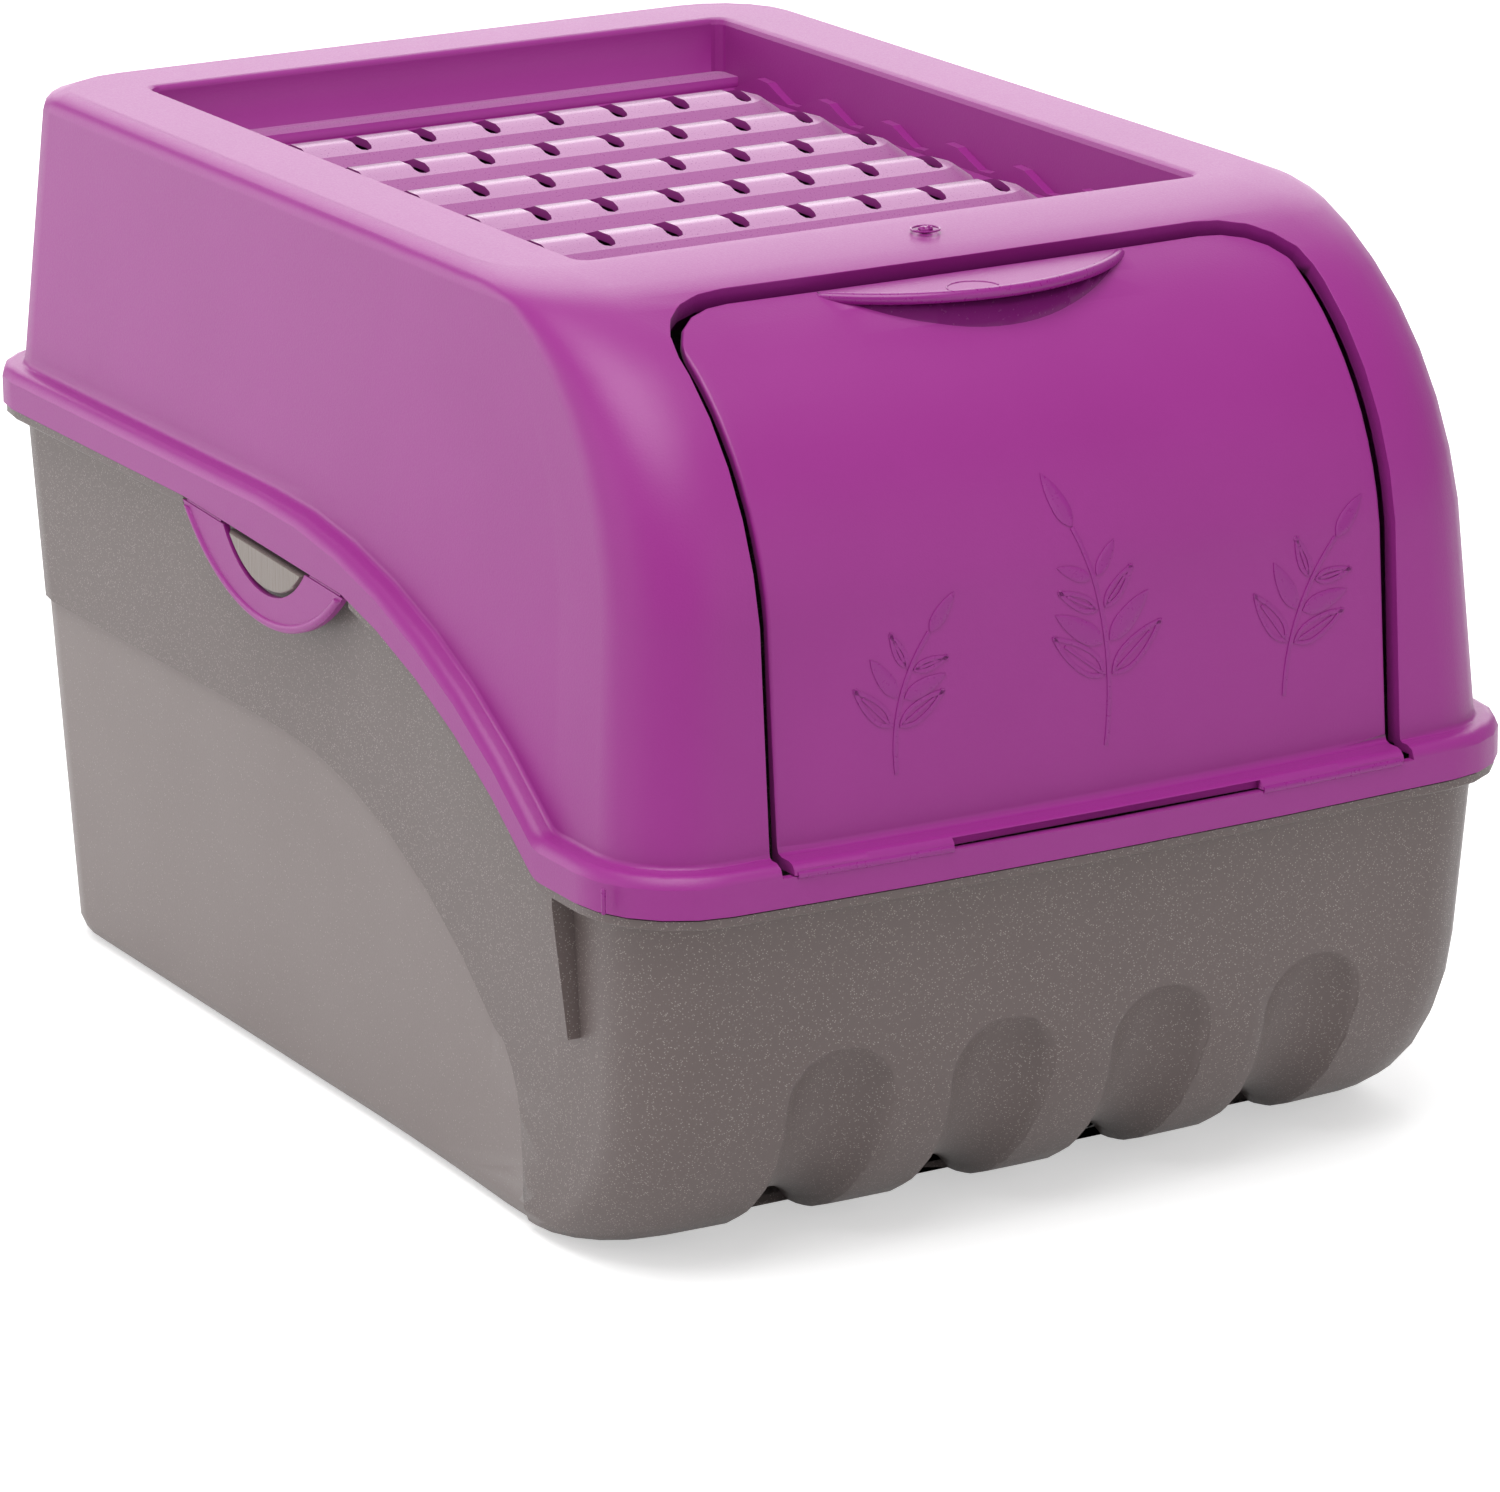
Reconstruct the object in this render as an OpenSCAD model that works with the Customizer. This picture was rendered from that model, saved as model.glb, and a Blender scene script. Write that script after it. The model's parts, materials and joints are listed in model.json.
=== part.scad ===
// Potato storage bin: a vented hood with a front flap on a tub with a scooped floor.
// Millimetres, Z up, X across, the flap faces -Y, the origin is under the middle of the bin.

/* [Overall] */
// Width over the lid band
body_w = 263; // [250:1:280]
// Length over the lid band
body_l = 380; // [370:1:400]
// Height of the hood top above the table
body_h = 240; // [238:1:246]
// Radius of the four upright corners at the lid band
corner_r = 29; // [27:1:32]
// How far the front bulges at its middle
front_bow = 5; // [4:0.5:6]

/* [Seam between lid and tub] */
// Height of the seam at the back
seam_back_z = 154; // [152:0.5:156]
// Height of the seam at the front
seam_front_z = 101.5; // [100:0.5:103]
// Radius of the long curve that leads the seam down to the front
seam_arc_r = 232; // [226:1:240]
// Place along Y where the long curve starts
seam_arc_y = 10; // [6:1:14]
// Radius of the short curve at the foot of the long one
seam_foot_r = 9; // [7:1:12]
// Gap between the lid band and the tub flange
seam_gap = 0.6; // [0.4:0.1:0.8]

/* [Lid hood] */
// Wall of the lid
lid_wall = 2.2; // [2:0.1:2.4]
// Height of the lid band
band_h = 10.5; // [10:0.1:11]
// Rounding of the upper edge of the band
band_roll = 3; // [2.5:0.1:3.4]
// Width of the ledge from the band to the hood wall
ledge_w = 6.3; // [6:0.1:7]
// How far a side wall of the hood leans in up to the top
side_lean = 8.7; // [6:0.1:10]
// How far the back wall of the hood leans in up to the top
back_lean = 0.8; // [0.4:0.1:3]
// Slope of the front wall of the hood in degrees
front_lean = 3; // [2:0.5:4]
// Rounding of the hood where its walls meet the top
hood_top_r = 5.5; // [4:0.5:7]
// Radius of the big curve from the front wall to the top
hood_front_r = 83.5; // [82:0.5:85]

/* [Vent tray] */
// Width of the tray in the hood top
tray_w = 179; // [174:1:182]
// Length of the tray
tray_l = 245; // [243:1:247]
// Distance from the back of the bin to the back edge of the tray
tray_back = 34.5; // [32:0.5:37]
// Depth from the hood top to the valleys of the vent floor
tray_depth = 18.2; // [17:0.2:19]
// Distance from rib to rib of the vent floor
rib_pitch = 33.9; // [33:0.1:34.5]
// Height of a rib
rib_h = 6.8; // [6:0.2:7]
// Half width of a rib at its foot
rib_half = 15; // [13:0.5:15.5]
// Number of ribs
rib_n = 6; // [4:1:6]
// Distance from slot to slot along a rib
slot_pitch = 19.7; // [18:0.1:20]
// Number of slots in a rib
slot_n = 8; // [6:2:8]
// Width of a slot
slot_w = 4.4; // [3.6:0.2:5]
// Length of a slot across its rib
slot_l = 16; // [12:0.5:18]

/* [Flap] */
// Width of the flap
flap_w = 176; // [172:1:178]
// Rounding of the upper corners of the flap
flap_corner_r = 20; // [16:1:24]
// Gap between the flap and the hood
flap_gap = 3.2; // [2.4:0.2:3.6]
// How deep the flap lies below the hood surface
flap_sink = 2.2; // [1.6:0.1:2.6]
// Wall of the flap
flap_wall = 2.2; // [2:0.1:2.6]
// Width of the finger lip
grip_w = 88; // [80:1:88]
// How far the finger lip stands forward
grip_out = 19; // [16:0.5:20]
// Height of the finger lip above the table
grip_z = 233.2; // [232.6:0.1:233.4]
// Length of the slot between the two flap hinges
hinge_slot_w = 89; // [84:1:96]

/* [Tub] */
// Wall of the tub
tub_wall = 2.6; // [2.4:0.1:2.8]
// How far the tub wall lies inside the lid band at the flange
rim_over = 6.6; // [6.2:0.1:7]
// Slope of the side and back walls of the tub in degrees
tub_draft = 2.4; // [2:0.1:2.8]
// Slope of the front wall of the tub in degrees
tub_front_draft = 5; // [4:0.2:6]
// Thickness of the flange under the lid band
flange_t = 2.4; // [2.2:0.1:2.8]
// Radius of the front bottom edge of the tub
front_r = 53; // [50:1:56]
// Radius of the other bottom edges of the tub
foot_r = 6; // [5:0.5:7]
// Depth of the lower panel step in the side and back walls
panel_step = 1.2; // [0.8:0.1:1.4]
// Height of the panel step at the back
panel_z = 98.6; // [94:0.2:102]
// Distance from groove to groove under the floor
groove_pitch = 46.4; // [45:0.2:47]
// Depth of a floor groove
groove_depth = 9; // [8:0.5:9.5]
// Radius of a floor groove
groove_r = 17.8; // [17:0.2:18]

/* [Side latches] */
// Place of the latches along Y
latch_y = 8; // [6:0.5:10]
// Length of a latch along its hinge line
latch_l = 92; // [88:1:94]
// Drop of a latch below its hinge line
latch_drop = 20.5; // [19:0.5:22]
// Thickness of a latch
latch_t = 1.8; // [1.6:0.1:2]
// Length of the window in a latch
window_l = 47; // [44:1:50]
// Drop of the window below the hinge line
window_drop = 12; // [11:0.5:12.5]

/* [Hidden] */
half_w = body_w / 2;
half_l = body_l / 2;
over = 1;
tub_colour = "#6d6360";
lid_colour = "#98318c";

// Seam curve: a straight back, a long arc down, a short arc and a straight front
seam_c = [seam_arc_y, seam_back_z - seam_arc_r];
seam_foot_cz = seam_front_z + seam_foot_r;
seam_foot_cy = seam_c[0] - sqrt(pow(seam_arc_r + seam_foot_r, 2) - pow(seam_foot_cz - seam_c[1], 2));
seam_turn = asin((seam_c[0] - seam_foot_cy) / (seam_arc_r + seam_foot_r));
seam_join_y = seam_c[0] - seam_arc_r * sin(seam_turn);
function seam_z(y) =
    y >= seam_c[0] ? seam_back_z :
    y >= seam_join_y ? seam_c[1] + sqrt(pow(seam_arc_r, 2) - pow(y - seam_c[0], 2)) :
    y > seam_foot_cy ? seam_foot_cz - sqrt(pow(seam_foot_r, 2) - pow(y - seam_foot_cy, 2)) :
    seam_front_z;
arc_steps = 7;
foot_steps = 3;
seam_stations = concat(
    [for (i = [0 : arc_steps]) seam_c[0] - seam_arc_r * sin(seam_turn * i / arc_steps)],
    [for (i = [1 : foot_steps]) seam_foot_cy + seam_foot_r * sin(seam_turn * (1 - i / foot_steps))]);

// Plan of the lid band: each point is x, y, the outward normal and the ways the walls move in
bow_r = (pow(half_w, 2) + pow(front_bow, 2)) / (2 * front_bow);
bow_cy = bow_r - half_l;
bow_turn = asin((half_w - corner_r) / (bow_r - corner_r));
front_cy = bow_cy - (bow_r - corner_r) * cos(bow_turn);
back_cy = half_l - corner_r;
function plan_arc(cx, cy, r, from, to, n, sx, sy) =
    [for (i = [0 : n]) let (a = from + (to - from) * i / n)
        [cx + r * cos(a), cy + r * sin(a), cos(a), sin(a), sx, sy]];
function plan_side(side, ys) =
    [for (y = ys) [side * half_w, y, side, 0, side, 1 - 2 * (back_cy - y) / (back_cy - front_cy)]];
function backwards(list) = [for (i = [len(list) - 1 : -1 : 0]) list[i]];
corner_steps = 5;
bow_steps = 4;
plan = concat(
    plan_arc(half_w - corner_r, back_cy, corner_r, 0, 90, corner_steps, 1, 1),
    plan_arc(corner_r - half_w, back_cy, corner_r, 90, 180, corner_steps, -1, 1),
    plan_side(-1, seam_stations),
    plan_arc(corner_r - half_w, front_cy, corner_r, 180, 270 - bow_turn, corner_steps, -1, -1),
    [for (i = [1 : bow_steps - 1]) let (a = 270 + bow_turn * (2 * i / bow_steps - 1))
        [bow_r * cos(a), bow_cy + bow_r * sin(a), cos(a), sin(a), 2 * i / bow_steps - 1, -1]],
    plan_arc(half_w - corner_r, front_cy, corner_r, 270 + bow_turn, 360, corner_steps, 1, -1),
    plan_side(1, backwards(seam_stations)));

// A ring at a set distance inside the band and above the seam
function seam_ring(in, up) =
    [for (p = plan) [p[0] - in * p[2], p[1] - in * p[3], seam_z(p[1]) + up]];
// How far a quarter round of radius r has come in, depth t from its far side
function round_in(r, t) = t >= r ? r : t <= 0 ? 0 : r - sqrt(r * r - t * t);
// A plan point moved in by a wall offset, then along the two main directions
function moved(p, in, side, back, front, z) =
    [p[0] - in * p[2] - p[4] * side, p[1] - in * p[3] - (p[5] > 0 ? p[5] * back : p[5] * front), z];

// Solid between rings that run the same way round, closed at both ends or into a loop
module loft(rings, closed = false) {
    n = len(rings[0]);
    m = len(rings);
    last = closed ? m - 1 : m - 2;
    sides = [for (k = [0 : last], i = [0 : n - 1])
        let (a = k * n + i, b = ((k + 1) % m) * n + i,
             c = ((k + 1) % m) * n + (i + 1) % n, d = k * n + (i + 1) % n)
        each [[a, b, c], [a, c, d]]];
    caps = closed ? [] : [[for (i = [0 : n - 1]) i], [for (i = [n - 1 : -1 : 0]) (m - 1) * n + i]];
    polyhedron([for (r = rings) each r], concat(sides, caps), convexity = 10);
}

// Prism along X from a polygon in the YZ plane
module prism_x(from, to, points) {
    multmatrix([[0, 0, 1, from], [1, 0, 0, 0], [0, 1, 0, 0], [0, 0, 0, 1]])
        linear_extrude(to - from) polygon(points);
}

// Rounded rectangle for tray rings
function round_rect(w, l, r, y, z, steps = 4) =
    [for (q = [0 : 3], i = [0 : steps]) let (a = q * 90 + i * 90 / steps,
        sx = (q == 0 || q == 3) ? 1 : -1, sy = q < 2 ? 1 : -1)
        [sx * (w / 2 - r) + r * cos(a), y + sy * (l / 2 - r) + r * sin(a), z]];

// Tub rings: drafted walls that end in the large front radius and the small foot radius
tub_top = -seam_gap - flange_t;
flange_in = 0.9;
function tub_ring(in, z, rim, shift) =
    [for (p = plan)
        let (fall = seam_z(p[1]) + tub_top - z)
        moved(p, rim_over + in, fall * tan(tub_draft) + rim, fall * tan(tub_draft) + rim,
              fall * tan(tub_front_draft) + shift, z)];
front_angles = [90, 81, 72, 62, 50, 37, 24, 12, 0];
function tub_skin(in, step = 0) =
    [for (a = front_angles)
        let (r = front_r - in, z = front_r - r * sin(a))
        tub_ring(in + step, z, round_in(foot_r - in, foot_r - z), r * (1 - cos(a)))];
up_in = lid_wall + 1;
up_top = 6;
up_t = 1.6;

// A groove under the floor that follows the front radius up and ends in a round scoop
scoop_z = 43.5;
groove_major = front_r - groove_depth + groove_r;
groove_turn = acos((front_r - scoop_z) / groove_major);
groove_turn_y = -half_l + rim_over + (seam_front_z + tub_top - scoop_z) * tan(tub_front_draft)
    - (groove_r - groove_depth) + groove_major * sin(groove_turn);
module scoop_ball(turn, r, fn) {
    translate([0, -groove_major * sin(turn), front_r - groove_major * cos(turn)])
        sphere(r / cos(180 / fn), $fn = fn);
}
module groove_tube(x, r, fn) {
    translate([x, groove_turn_y + bow_r - sqrt(bow_r * bow_r - x * x), 0]) {
        translate([0, 0, front_r]) rotate([0, 90, 0]) rotate([0, 0, -groove_turn])
            rotate_extrude(angle = groove_turn, $fn = fn + 8) translate([groove_major, 0]) circle(r, $fn = fn);
        hull() {
            scoop_ball(groove_turn, r, fn);
            scoop_ball(groove_turn - 3, r, fn);
        }
        translate([0, 0, front_r - groove_major]) rotate([-90, 0, 0])
            cylinder(r = r, h = 2 * half_l, $fn = fn);
    }
}
module grooves(r, fn) for (i = [-1.5 : 1 : 1.5]) groove_tube(i * groove_pitch, r, fn);

// Side view of the lower panel: level at the back, falling in two arcs towards the front
panel_points = concat(
    [[half_l + over, -over], [half_l + over, panel_z]],
    [for (a = [0 : 7.5 : 45]) [20 - 165 * sin(a), panel_z - 165 * (1 - cos(a))]],
    [for (a = [52 : 12 : 88]) [-76 - 33 * sin(a), 27.5 + 33 * cos(a)]],
    [[-109, 24], [-109, -over]]);

module tub_outside() {
    panel_skin = tub_skin(0, panel_step);
    difference() {
        loft(concat(
            tub_skin(0),
            [seam_ring(rim_over, tub_top),
             seam_ring(flange_in + 0.4, tub_top),
             seam_ring(flange_in, tub_top + 0.4),
             seam_ring(flange_in, -seam_gap),
             seam_ring(up_in, -seam_gap),
             seam_ring(up_in, up_top - 0.5),
             seam_ring(up_in + 0.5, up_top)]));
        difference() {
            prism_x(-half_w - over, half_w + over, panel_points);
            loft(concat([[for (p = panel_skin[0]) [p[0], p[1], -2 * over]]], panel_skin,
                        [seam_ring(rim_over + panel_step, 0)]));
        }
        grooves(groove_r, 24);
    }
}

module tub_inside() {
    difference() {
        loft(concat(
            tub_skin(tub_wall),
            [seam_ring(rim_over + tub_wall, tub_top),
             seam_ring(up_in + up_t, -seam_gap),
             seam_ring(up_in + up_t, up_top + 2 * over)]));
        grooves(groove_r + tub_wall, 16);
    }
}

// Hinge line of a latch: the chord of the seam between the ends of the latch
latch_from = latch_y - latch_l / 2;
latch_to = latch_y + latch_l / 2;
latch_axis_z = (seam_z(latch_from) + seam_z(latch_to)) / 2 - 0.9;
latch_tilt = atan((seam_z(latch_to) - seam_z(latch_from)) / latch_l);
latch_axis_in = 1;
latch_r = (pow(latch_l / 2, 2) + pow(latch_drop, 2)) / (2 * latch_drop);
latch_bead_r = 0.55;
latch_end_gap = 1.5;
window_y = -1.4;
module latch_place(side) {
    translate([side * (half_w - latch_axis_in), latch_y, latch_axis_z]) rotate([latch_tilt, 0, 0])
        multmatrix([[0, 0, side, 0], [1, 0, 0, 0], [0, 1, 0, 0], [0, 0, 0, 1]]) children();
}
function round_r(half, drop) = (pow(half, 2) + pow(drop, 2)) / (2 * drop);
// Half-moon with a straight top, inset all round
module half_moon(half, drop, in, top, fn = 96) {
    intersection() {
        translate([0, round_r(half, drop) - drop]) circle(round_r(half, drop) - in, $fn = fn);
        translate([-half, -drop]) square([2 * half, drop + top]);
    }
}

// Catch on the tub wall that fills the window of a latch
module catch(side) latch_place(side) translate([window_y, 0, 0]) hull() {
    translate([0, 0, -8]) linear_extrude(7.6) half_moon(window_l / 2, window_drop, 1, -1);
    translate([0, 0, -1]) linear_extrude(1.7) half_moon(window_l / 2, window_drop, 1.6, -1.6);
}

// Upright fin beside each front corner
fin_y = -143.3;
module fin(side) hull() {
    translate([side > 0 ? 118 : -half_w + flange_in, fin_y - 1.3, 96])
        cube([half_w - flange_in - 118, 2.6, 3]);
    translate([side > 0 ? 118 : -126.9, fin_y - 1.3, 62]) cube([8.9, 2.6, 2]);
}

// Break in the flange behind a latch, which lies in its plane
module latch_break(side)
    translate([side > 0 ? half_w - 3 : -half_w - over, latch_from - latch_end_gap, seam_back_z - 12])
        cube([3 + over, latch_l + 2 * latch_end_gap, 11.6]);

module tub() color(tub_colour) {
    difference() {
        union() {
            difference() {
                tub_outside();
                for (side = [-1, 1]) latch_break(side);
            }
            for (side = [-1, 1]) {
                catch(side);
                fin(side);
            }
        }
        tub_inside();
    }
}

// Lid rings: the band, the ledge, the walls, the front curve and the rounding of the top edges
front_top_z = body_h - hood_front_r;
front_start_z = front_top_z + hood_front_r * sin(front_lean);
front_foot_z = seam_front_z + band_h;
front_base = (front_start_z - front_foot_z) * tan(front_lean) + hood_front_r * cos(front_lean);
function hood_ring(in, a) =
    let (z = front_top_z + (hood_front_r - in) * sin(a),
         top_in = round_in(hood_top_r - in, z - (body_h - hood_top_r)))
    [for (p = plan)
        let (foot = seam_z(p[1]) + band_h, rise = (z - foot) / (body_h - foot))
        moved(p, ledge_w + in, side_lean * rise + top_in, back_lean * rise + top_in,
              front_base - in - (hood_front_r - in) * cos(a), z)];
hood_angles = [8, 17, 26, 35, 44, 53, 61, 69, 73, 78, 90];
hood_inner_angles = [8, 20, 32, 44, 56, 68, 75, 90];
function lid_rings(in) = concat(
    in > 0
        ? [seam_ring(in, -over), seam_ring(in, band_h - in)]
        : [seam_ring(0, 0),
           seam_ring(0, band_h - band_roll),
           seam_ring(band_roll * (1 - cos(45)), band_h - band_roll * (1 - sin(45))),
           seam_ring(band_roll, band_h)],
    in > 0
        ? [seam_ring(ledge_w + in, band_h - in)]
        : [seam_ring(ledge_w - 1.2, band_h), seam_ring(ledge_w - 0.3, band_h + 0.4),
           seam_ring(ledge_w, band_h + 1.4)],
    [for (a = in > 0 ? hood_inner_angles : hood_angles) hood_ring(in, a)]);

// Front wall of the hood: a point at x, at a depth below the surface, at an angle of the front curve
function bow_at(x, in) = bow_cy - sqrt(pow(bow_r - in, 2) - x * x);
function front_at(x, in, a) =
    [bow_at(x, ledge_w + in) + front_base - in - (hood_front_r - in) * cos(a),
     front_top_z + (hood_front_r - in) * sin(a)];
// Top angle of an outline with rounded upper corners
flap_top_a = 71;
function top_angle(x, half, r, top) =
    let (d = max(0, abs(x) - (half - r)))
    top - (r - sqrt(max(0, r * r - d * d))) / hood_front_r * 180 / PI;
function front_stations(half, r) =
    let (right = [for (t = [0, 18, 36, 54, 72, 90]) half - r + r * sin(t)])
    concat([for (x = backwards(right)) -x], [-half / 2, 0, half / 2], right);
function front_fan(x, in, top) =
    [for (i = [0 : 10]) front_at(x, in, 8 + (top - 8) * i / 10)];

// Slab that follows the front wall, from one depth to another, with rounded upper corners
module front_slab(half, r, top, from, to, foot_z) {
    loft([for (x = front_stations(half, r))
        let (a = top_angle(x, half, r, top))
        [for (p = concat([[bow_at(x, ledge_w + to), foot_z]], front_fan(x, to, a),
                         backwards(front_fan(x, from, a)), [[bow_at(x, ledge_w + from), foot_z]]))
            [x, p[0], p[1]]]]);
}

// Opening for the flap, and the rim that turns in round it
flap_half = flap_w / 2;
open_half = flap_half + flap_gap;
open_top = flap_top_a + flap_gap / hood_front_r * 180 / PI;
lip_cut_z = front_foot_z - band_roll - 0.2;
module flap_opening(back) {
    front_slab(open_half, flap_corner_r + flap_gap, open_top, -4, back, lip_cut_z);
    translate([-open_half, -half_l - over, lip_cut_z]) cube([2 * open_half, ledge_w + over + 5, band_h]);
}
module opening_rim()
    front_slab(open_half + 2, flap_corner_r + flap_gap + 2, open_top + 1.4, 0.8, 5.2, front_foot_z - 1);

// Tray in the hood top
tray_y = half_l - tray_back - tray_l / 2;
tray_floor_z = body_h - tray_depth;
rib_top_z = tray_floor_z + rib_h;
rib_r = (pow(rib_half, 2) + pow(rib_h, 2)) / (2 * rib_h);
rib_reach = 67.5;
rib_first_y = 112.5;
function rib_y(i) = rib_first_y - i * rib_pitch;
module tray_block() {
    translate([0, 0, tray_floor_z - lid_wall]) linear_extrude(tray_depth + lid_wall - 1)
        polygon([for (p = round_rect(tray_w + 2 * lid_wall, tray_l + 2 * lid_wall, 5, tray_y, 0)) [p[0], p[1]]]);
}
module tray_pocket() {
    loft([round_rect(tray_w - 1, tray_l - 1, 3, tray_y, tray_floor_z),
          round_rect(tray_w, tray_l, 3, tray_y, body_h - 1.8),
          round_rect(tray_w + 1, tray_l + 1, 3.5, tray_y, body_h - 0.6),
          round_rect(tray_w + 3.6, tray_l + 3.6, 4.8, tray_y, body_h),
          round_rect(tray_w + 3.6, tray_l + 3.6, 4.8, tray_y, body_h + over)]);
}
module rib_form(i, r) hull() for (side = [-1, 1])
    translate([side * rib_reach, rib_y(i), rib_top_z - rib_r]) sphere(r / cos(9), $fn = 20);
module ribs() {
    intersection() {
        for (i = [0 : rib_n - 1]) rib_form(i, rib_r);
        translate([-half_w, -half_l, tray_floor_z - lid_wall]) cube([body_w, body_l, tray_depth]);
    }
}
module slots() {
    for (i = [0 : rib_n - 1], k = [0 : slot_n - 1])
        translate([(k - (slot_n - 1) / 2) * slot_pitch, rib_y(i), tray_floor_z - 4])
            linear_extrude(2 * rib_h + 4) hull() for (end = [-1, 1])
                translate([0, end * (slot_l - slot_w) / 2]) circle(slot_w / 2, $fn = 8);
}
// Level strip behind the last rib
module tray_step() {
    translate([-tray_w / 2, half_l - tray_back - 10.5, tray_floor_z - lid_wall])
        cube([tray_w, 10.5, lid_wall + 3]);
}
// Wavy bead along the foot of each side wall of the tray
module side_beads() {
    wave = [for (y = [-85 : 5.65 : 145]) [y, 224.9 - 2.4 * cos((y - rib_first_y + 2) / rib_pitch * 360)]];
    for (side = [-1, 1])
        prism_x(side > 0 ? tray_w / 2 - 3 : -tray_w / 2 - 1, side > 0 ? tray_w / 2 + 1 : -tray_w / 2 + 3,
            concat([[-85, tray_floor_z - 1]], wave, [[145, tray_floor_z - 1]]));
}

// Strip under the band that carries the hinge of a latch
module latch_land(side) latch_place(side) translate([-latch_l / 2, latch_bead_r + 0.3, -0.9])
    cube([latch_l, 4.2, 1.8]);

module hood() color(lid_colour) {
    difference() {
        union() {
            difference() {
                union() {
                    difference() {
                        loft(lid_rings(0));
                        loft(lid_rings(lid_wall));
                    }
                    opening_rim();
                    tray_block();
                    for (side = [-1, 1]) latch_land(side);
                }
                flap_opening(8);
                tray_pocket();
            }
            ribs();
            tray_step();
            side_beads();
        }
        for (i = [0 : rib_n - 1]) rib_form(i, rib_r - lid_wall);
        slots();
    }
}

// Flap: a curved panel whose foot covers the ledge and the rolled edge of the band
flap_axis_y = -half_l + 0.6;
flap_axis_z = front_foot_z - 2.8;
flap_edge_r = 1;
function flap_foot(x) = [for (t = [2, 30, 60, 90])
    [bow_at(x, band_roll * (1 - cos(t))), front_foot_z - band_roll * (1 - sin(t))]];
function flap_fillet(x) = [for (p = [[-2, 0], [-0.6, 0.6], [0, 2]])
    [bow_at(x, ledge_w + flap_sink + p[0]), front_foot_z + p[1]]];
function edge_sink(t) = t <= 0 ? 0 : flap_edge_r - sqrt(pow(flap_edge_r, 2) - pow(min(t, flap_edge_r), 2));
function flap_stations() = let (s = front_stations(flap_half, flap_corner_r),
                                 edge = [flap_half - flap_edge_r, flap_half - 0.45, flap_half - 0.1])
    concat([-flap_half], [for (e = backwards(edge)) -e],
           [for (x = s) if (abs(x) < flap_half - flap_edge_r) x], edge, [flap_half]);
module flap_panel() {
    inner = flap_sink + flap_wall;
    deg = 180 / PI / hood_front_r;
    loft([for (x = flap_stations())
        let (a = top_angle(x, flap_half, flap_corner_r, flap_top_a),
             side = edge_sink(abs(x) - flap_half + flap_edge_r),
             outer = flap_sink + side)
        [for (p = concat([[bow_at(x, ledge_w + inner), flap_foot(x)[0][1]]], front_fan(x, inner, a),
                         [for (t = [1, 0.7, 0.3]) front_at(x, min(inner - 0.2, flap_sink + max(side, edge_sink(t))),
                                                           a - (flap_edge_r - t) * deg)],
                         backwards(front_fan(x, outer, a - flap_edge_r * deg)),
                         backwards(flap_fillet(x)), backwards(flap_foot(x))))
            [x, p[0], p[1]]]]);
}

// Finger lip: a level shelf with an upright round front, open underneath
grip_r = (pow(grip_w / 2, 2) + pow(grip_out, 2)) / (2 * grip_out);
grip_back_y = front_at(0, flap_sink, flap_top_a)[0] - 0.6;
module grip_form(in, from, to) {
    translate([0, 0, from]) linear_extrude(to - from) intersection() {
        translate([0, grip_back_y - grip_out + grip_r]) circle(grip_r - in, $fn = 96);
        translate([-half_w, grip_back_y - 60]) square([body_w, 60 - in]);
    }
}
module finger_lip() {
    intersection() {
        grip_form(0, grip_z - 20, grip_z);
        prism_x(-grip_w / 2 - 3, grip_w / 2 + 3, concat(
            [for (i = [0 : 6]) front_at(0, flap_sink + flap_wall / 2, 45 + 5 * i)],
            [[grip_back_y + 20, body_h], [grip_back_y - 30, body_h]]));
    }
}

module flap() color(lid_colour) resize([flap_w, 0, 0]) {
    difference() {
        union() {
            flap_panel();
            finger_lip();
        }
        grip_form(2, grip_z - 26, grip_z - 2);
        translate([-hinge_slot_w / 2, -half_l - over, flap_axis_z - 2])
            cube([hinge_slot_w, 4.2, 4.2]);
    }
}

// Latch: a half-moon plate with a bead round its edge and a window that the catch fills
latch_rim_r = 1.2;
module latch(side) latch_place(side) {
    difference() {
        union() {
            translate([0, 0, -latch_t / 2]) linear_extrude(latch_t) half_moon(latch_l / 2, latch_drop, 0, -0.1);
            intersection() {
                translate([0, latch_r - latch_drop, 0.45]) rotate_extrude($fn = 120)
                    translate([latch_r - latch_rim_r, 0]) circle(latch_rim_r, $fn = 24);
                translate([-latch_l / 2, -latch_drop, -latch_t / 2]) cube([latch_l, latch_drop - 1.2, 4]);
            }
        }
        translate([window_y, 0, -2]) linear_extrude(5) half_moon(window_l / 2, window_drop, 0, 2);
    }
    for (span = [[-latch_l / 2 + 2, window_y - window_l / 2 - 2], [window_y + window_l / 2 + 2, latch_l / 2 - 2]])
        translate([span[0], 0, 0]) rotate([0, 90, 0])
            cylinder(r = latch_bead_r, h = span[1] - span[0], $fn = 24);
}
module latch_left() color(lid_colour) latch(-1);
module latch_right() color(lid_colour) latch(1);

tub();
hood();
flap();
latch_left();
latch_right();
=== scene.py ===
"""Potato storage bin: finishes, moulding details and studio.

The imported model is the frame. Sizes here are in millimetres and turned to metres by MM.
X runs across the bin, the flap faces -Y and Z is up.
"""

from __future__ import annotations

import json
import logging
import math
from dataclasses import dataclass, field
from enum import Enum
from typing import Callable

import bpy
from mathutils import Matrix, Vector

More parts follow.
